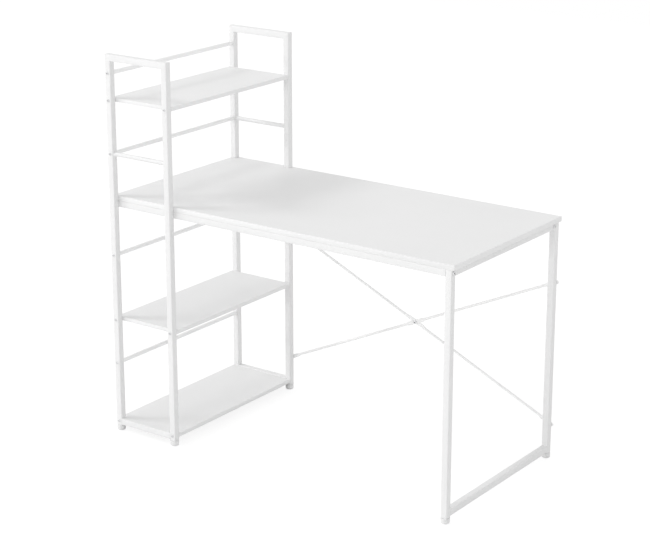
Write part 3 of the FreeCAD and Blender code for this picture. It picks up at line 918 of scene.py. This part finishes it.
@dataclass
class BraceRod:
    """A round rod pressed flat at its ends and where it crosses the other.

    The rod, the flat and the half width are half measures. The bulge is how many times
    the flat's thickness the pressed section would have if its faces weren't flat.
    """

    node: str
    crossing_depth: float
    rod: float = 4.0 * MM
    flat: float = 1.5 * MM
    half_width: float = 6.5 * MM
    bulge: float = 2.2
    centre_flat: float = 22.0 * MM
    taper: float = 20.0 * MM
    taper_steps: int = 8
    reach: float = 22.0 * MM
    tip: float = 16.0 * MM
    tip_turns: tuple[float, ...] = (20.0, 40.0, 58.0, 72.0, 82.0)
    steps: int = 24

    def build(self, start: Vector, end: Vector) -> None:
        """Builds the rod between its two bolts.

        Args:
            start: The left bolt's place on its post's back face.
            end: The right bolt's place.
        """
        run = end - start
        rod = bmesh.new()
        rings = [self._ring(rod, section) for section in self._sections(run.length / 2.0)]
        loops = [loop_edges(rod, ring) for ring in rings]
        skin(rod, loops)
        for tip in (loops[0], loops[-1]):
            bmesh.ops.contextual_create(rod, geom=tip)
        along = run.normalized()
        back = Facing.BACK.vector
        turn = Matrix((along, back, along.cross(back))).transposed().to_4x4()
        rod.transform(Matrix.Translation((start + end) / 2.0) @ turn)
        bmesh.ops.recalc_face_normals(rod, faces=list(rod.faces))
        # The rod takes the lighter copy of the powder coat, whose extra brightness is painted
        # light.
        finish_piece(rod, f"{self.node}_pressed", [PAINTED_LIGHT_COAT], [self.node],
                     crease=40.0)

    def _sections(self, half: float) -> list[Section]:
        """Where the rod's section changes.

        Args:
            half: Half the distance between the two end bolts.

        Returns:
            The sections from one tip to the other.
        """
        tip_centre = half + self.tip - self.half_width
        right = [Section(0.0, 1.0, 1.0, self.crossing_depth),
                 Section(self.centre_flat, 1.0, 1.0, self.crossing_depth)]
        right += self._press_mark(self.centre_flat, self.crossing_depth, True)
        right += self._press_mark(half - self.reach - self.taper, self.flat, False)
        right.append(Section(tip_centre, 1.0, 1.0, self.flat))
        for turn in map(math.radians, self.tip_turns):
            place = tip_centre + self.half_width * math.sin(turn)
            right.append(Section(place, 1.0, math.cos(turn), self.flat))
        left = [replace(section, along=-section.along) for section in reversed(right[1:])]
        return left + right

    def _press_mark(self, start: float, depth: float, leaving: bool) -> list[Section]:
        """The sections of one press mark, eased between the flat and the round rod.

        Args:
            start: Where the press mark starts.
            depth: How far the flat's middle lies behind the posts.
            leaving: Whether the section goes from flat to round.

        Returns:
            The sections, in order.
        """
        sections = []
        for number in range(1 if leaving else 0, self.taper_steps + 1):
            share = number / self.taper_steps
            eased = share * share * (3.0 - 2.0 * share)
            flatness = 1.0 - eased if leaving else eased
            middle = self.rod + (depth - self.rod) * flatness
            sections.append(Section(start + self.taper * share, flatness, 1.0, middle))
        return sections

    def _ring(self, mesh: BMesh, section: Section) -> list[BMVert]:
        """Adds one cross-section of the rod.

        Args:
            mesh: The rod's bmesh.
            section: The section to draw.

        Returns:
            The section's points.
        """
        spread = self.rod + (self.half_width - self.rod) * section.flatness
        thick = self.rod + (self.flat * self.bulge - self.rod) * section.flatness
        limit = self.rod + (self.flat - self.rod) * section.flatness
        points = circle(mesh, self.steps, 1.0)
        for point in points:
            out, up = point.co.y * thick, point.co.x * spread * section.width
            point.co = (section.along, section.depth + max(-limit, min(limit, out)), up)
        return points


@dataclass
class CrossingNut:
    """The hexagon nut behind the crossing, with the end of the bolt in it."""

    node: str = "brace_centre_nut"
    edge_break: float = 0.4 * MM
    edge_steps: int = 2
    bolt_radius: float = 3.0 * MM
    bolt_tip: float = 2.6 * MM
    bolt_length: float = 0.6 * MM
    bolt_sink: float = 0.25 * MM
    bolt_steps: int = 24

    def build(self) -> None:
        """Builds the nut in place of its node."""
        low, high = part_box(self.node)
        thick = high.y - low.y
        radius = (high.x - low.x) / 2.0
        nut = bmesh.new()
        bmesh.ops.create_cone(nut, cap_ends=True, segments=6, radius1=radius, radius2=radius,
                              depth=thick)
        round_edges(nut, list(nut.edges), self.edge_break, self.edge_steps)
        bolt = bmesh.new()
        seat = Matrix.Translation((0.0, 0.0, thick / 2.0 - self.bolt_sink))
        bmesh.ops.create_cone(bolt, cap_ends=True, segments=self.bolt_steps, matrix=seat,
                              radius1=self.bolt_radius, radius2=self.bolt_tip,
                              depth=self.bolt_length)
        join(nut, bolt)
        sixth = Matrix.Rotation(math.pi / 6.0, 4, "Z")
        nut.transform(Matrix.Translation((low + high) / 2.0)
                      @ laid_along(Facing.BACK.vector) @ sixth)
        finish_piece(nut, "brace_centre_nut_hex", [ZINC], [self.node])


@dataclass
class Brace:
    """The crossed rods behind the desk, with their bolts."""

    front_depth: float = 2.5 * MM
    back_depth: float = 5.5 * MM
    end_seat: float = 3.0 * MM
    crossing_seat: float = 1.0 * MM

    def build(self) -> None:
        """Builds both rods, the end bolts, and the crossing's bolt and nut."""
        low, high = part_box("brace_end_bolts")
        left, right = low.x + BOLT.radius, high.x - BOLT.radius
        bottom, top = low.z + BOLT.radius, high.z - BOLT.radius
        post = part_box("leg_back_post")[1].y
        low_left, high_left, low_right, high_right = (
            Vector((x, post, z)) for x in (left, right) for z in (bottom, top))
        BraceRod("brace_rod_rising", self.front_depth).build(low_left, high_right)
        BraceRod("brace_rod_falling", self.back_depth).build(high_left, low_right)
        back = Facing.BACK.vector
        ScrewSet("brace_end_bolt_heads", "brace_end_bolts", BOLT).build(
            (corner + back * self.end_seat, Facing.BACK)
            for corner in (low_left, high_left, low_right, high_right))
        centre = Vector(((left + right) / 2.0, post, (bottom + top) / 2.0))
        ScrewSet("brace_centre_bolt_head", "brace_centre_bolt", BOLT).build(
            [(centre + back * self.crossing_seat, Facing.FRONT)])
        CrossingNut().build()


# Feet


@dataclass
class LevellingFoot:
    """A round moulded foot that screws in and out under one post."""

    post: str
    rounding: float = 6.0 * MM
    rounding_steps: int = 8
    bevel: float = 1.5 * MM
    bevel_steps: int = 4
    groove: float = 0.5 * MM
    hub: float = 5.0 * MM
    steps: int = 64

    def build(self) -> None:
        """Builds the foot in place of its node."""
        node = f"{self.post}_foot"
        low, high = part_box(node)
        centre = (low + high) / 2.0
        foot = turned(self._profile((high.x - low.x) / 2.0, high.z - low.z), self.steps)
        foot.transform(Matrix.Translation((centre.x, centre.y, low.z)))
        finish_piece(foot, f"{self.post}_foot_pad", [MOULDED_PLASTIC], [node],
                     f"{self.post}_levelling_foot")

    def _profile(self, radius: float, top: float) -> list[tuple[float, float]]:
        """The foot's half section, from the floor up.

        Args:
            radius: The foot's radius.
            top: Its height.

        Returns:
            Radius and height of each point.
        """
        profile = [(0.0, 0.0), (radius - self.rounding, 0.0)]
        for number in range(1, self.rounding_steps + 1):
            angle = math.radians(90.0 * number / self.rounding_steps)
            profile.append((radius - self.rounding + self.rounding * math.sin(angle),
                            self.rounding - self.rounding * math.cos(angle)))
        waist = top - self.bevel - 3.0 * self.groove
        profile += [(radius, waist - self.groove), (radius - self.groove, waist),
                    (radius - self.groove, waist + self.groove),
                    (radius, waist + 2.0 * self.groove), (radius, top - self.bevel)]
        for number in range(1, self.bevel_steps + 1):
            angle = math.radians(90.0 * number / self.bevel_steps)
            profile.append((radius - self.bevel + self.bevel * math.cos(angle),
                            top - self.bevel + self.bevel * math.sin(angle)))
        return profile + [(self.hub, top), (0.0, top)]


@dataclass
class FootInserts:
    """The moulded plates that close the posts' lower ends."""

    half: float = 10.0 * MM
    thickness: float = 3.0 * MM
    edge_round: float = 0.5 * MM
    edge_steps: int = 2

    def build(self) -> None:
        """Builds the plates in place of their node."""
        plates = bmesh.new()
        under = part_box("foot_inserts")[0].z
        for post in POSTS:
            x, y, _ = middle_of(f"{post}_stud")
            plate = solid_box(Vector((x - self.half, y - self.half, under)),
                              Vector((x + self.half, y + self.half, under + self.thickness)))
            round_edges(plate, edges_along(plate, Axis.Z), TUBE_CORNER, CORNER_STEPS)
            round_edges(plate, edges_at(plate, Axis.Z, under), self.edge_round, self.edge_steps)
            join(plates, plate)
        finish_piece(plates, "foot_insert_plates", [MOULDED_PLASTIC],
                     ["foot_inserts"])


# Studio


@dataclass(frozen=True)
class Lamp:
    """A large square lamp that faces a point above the floor's middle."""

    name: str
    place: tuple[float, float, float]
    aim_height: float
    size: float
    power: float

    def build(self) -> None:
        """Hangs the lamp."""
        data = bpy.data.lights.new(self.name, "AREA")
        data.shape = "SQUARE"
        data.size = self.size
        data.energy = self.power
        lamp = bpy.data.objects.new(self.name, data)
        lamp.location = self.place
        aim = Vector((0.0, 0.0, self.aim_height)) - Vector(self.place)
        lamp.rotation_euler = aim.to_track_quat("-Z", "Y").to_euler()
        bpy.context.scene.collection.objects.link(lamp)


@dataclass
class Studio:
    """The camera, the lights, the floor and the white surroundings.

    The surroundings go from the horizon's strength to the zenith's, and the lean is how
    much faster they do so on the right. The floor bounces light like a pale surface,
    and is seen as its glow with the object's shade on it.
    """

    camera_place: tuple[float, float, float] = (3.05832, -4.26067, 2.22827)
    yaw: float = 35.88
    pitch: float = 16.97
    lens: float = 103.02
    sensor: float = 36.0
    shift: float = -0.04615
    lamps: tuple[Lamp, ...] = (
        Lamp("key_light", (-10.4, -15.6, 2.6), aim_height=0.6, size=1.4, power=350.0),
        Lamp("side_light", (-8.2, -4.9, 8.9), aim_height=0.5, size=3.0, power=330.0),
        Lamp("front_fill", (1.6, -6.4, 1.6), aim_height=0.6, size=2.6, power=18.0))
    horizon: float = 1.02
    zenith: float = 0.775
    lean: float = 1.5
    floor_size: float = 14.0
    floor_bounce: float = 0.88
    floor_shade: float = 0.22
    floor_glow: float = 0.84

    def build(self) -> None:
        """Sets up the whole studio."""
        bpy.context.scene.view_settings.view_transform = "Standard"
        self._camera()
        self._world()
        self._floor()
        for lamp in self.lamps:
            lamp.build()

    def _camera(self) -> None:
        """Puts the camera at the photograph's viewing angle."""
        data = bpy.data.cameras.new("camera")
        data.lens = self.lens
        data.sensor_width = self.sensor
        data.shift_y = self.shift
        camera = bpy.data.objects.new("camera", data)
        camera.location = self.camera_place
        camera.rotation_euler = (math.radians(90.0 - self.pitch), 0.0, math.radians(self.yaw))
        bpy.context.scene.collection.objects.link(camera)
        bpy.context.scene.camera = camera

    def _world(self) -> None:
        """Lights the object from all round and shows plain white behind it."""
        world = bpy.data.worlds.new("surroundings")
        world.use_nodes = True
        tree = world.node_tree
        tree.nodes.clear()
        direction = tree.nodes.new("ShaderNodeTexCoord")
        split = tree.nodes.new("ShaderNodeSeparateXYZ")
        tree.links.new(direction.outputs["Generated"], split.inputs[0])
        rightward = math_node(tree, "MAXIMUM", split.outputs["X"], 0.0)
        leaning = math_node(tree, "MULTIPLY_ADD", rightward, self.lean, 1.0)
        climb = math_node(tree, "MULTIPLY", leaning, split.outputs["Z"])
        fade = tree.nodes.new("ShaderNodeMapRange")
        fade.inputs["To Min"].default_value = self.horizon
        fade.inputs["To Max"].default_value = self.zenith
        tree.links.new(climb, fade.inputs["Value"])
        soft = tree.nodes.new("ShaderNodeBackground")
        plain = tree.nodes.new("ShaderNodeBackground")
        for background in (soft, plain):
            background.inputs["Color"].default_value = (*grey(1.0), 1.0)
        tree.links.new(fade.outputs["Result"], soft.inputs["Strength"])
        plain.inputs["Strength"].default_value = 1.0
        self._show(tree, "ShaderNodeOutputWorld", soft, plain)
        bpy.context.scene.world = world

    def _floor(self) -> None:
        """Lays a pale floor that shows white but keeps a faint shadow."""
        sheet = bmesh.new()
        bmesh.ops.create_grid(sheet, x_segments=1, y_segments=1, size=self.floor_size / 2.0)
        data = bpy.data.meshes.new("floor")
        sheet.to_mesh(data)
        sheet.free()
        material = bpy.data.materials.new("studio_floor")
        material.use_nodes = True
        tree = material.node_tree
        tree.nodes.clear()
        bounce = tree.nodes.new("ShaderNodeBsdfDiffuse")
        bounce.inputs["Color"].default_value = (*grey(self.floor_bounce), 1.0)
        shade = tree.nodes.new("ShaderNodeBsdfDiffuse")
        shade.inputs["Color"].default_value = (*grey(self.floor_shade), 1.0)
        glow = tree.nodes.new("ShaderNodeEmission")
        glow.inputs["Strength"].default_value = self.floor_glow
        seen = tree.nodes.new("ShaderNodeAddShader")
        tree.links.new(shade.outputs[0], seen.inputs[0])
        tree.links.new(glow.outputs[0], seen.inputs[1])
        self._show(tree, "ShaderNodeOutputMaterial", bounce, seen)
        data.materials.append(material)
        floor = bpy.data.objects.new("floor", data)
        bpy.context.scene.collection.objects.link(floor)

    @staticmethod
    def _show(tree: NodeTree, output: str, lighting: Node, seen: Node) -> None:
        """Shows one shader to camera, glossy and transmission rays and another to the rest.

        Args:
            tree: The node tree of both shaders.
            output: The type of its output node.
            lighting: The shader that lights the object.
            seen: The shader that is seen.
        """
        path = tree.nodes.new("ShaderNodeLightPath")
        either = math_node(tree, "MAXIMUM", path.outputs["Is Camera Ray"],
                           path.outputs["Is Glossy Ray"])
        any_seen = math_node(tree, "MAXIMUM", either, path.outputs["Is Transmission Ray"])
        mix = tree.nodes.new("ShaderNodeMixShader")
        tree.links.new(any_seen, mix.inputs[0])
        tree.links.new(lighting.outputs[0], mix.inputs[1])
        tree.links.new(seen.outputs[0], mix.inputs[2])
        out = tree.nodes.new(output)
        tree.links.new(mix.outputs[0], out.inputs["Surface"])


def coat_hidden_nodes(nodes: dict[str, Object]) -> None:
    """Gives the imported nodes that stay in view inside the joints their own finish.

    Args:
        nodes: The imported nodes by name.
    """
    finishes = {"rivet_nuts": ZINC, "guard_bar_plugs": MOULDED_PLASTIC,
                "rail_plugs": MOULDED_PLASTIC}
    for name, node in nodes.items():
        finish = finishes.get(name, ZINC if name.endswith("_stud") else None)
        if finish is not None:
            for slot in node.material_slots:
                slot.material = finish.material()
            log.info("%s: %s", name, finish.name)


def main() -> None:
    """Builds every sub-assembly in order."""
    logging.basicConfig(level=logging.INFO, format="%(name)s %(message)s")
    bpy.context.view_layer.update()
    for side in Side:
        TowerFrame(side).build()
    for bar in GUARD_BARS:
        RoundBar(bar, Axis.Y).build()
    for shelf in SHELVES:
        BandedBoard(shelf).build()
    NotchedDeskBoard("desk_top").build()
    DeskRails().build()
    LegFrame().build()
    Fasteners().build()
    Brace().build()
    for post in POSTS:
        LevellingFoot(post).build()
    FootInserts().build()
    coat_hidden_nodes(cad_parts)
    Studio().build()


if __name__ == "__main__":
    main()
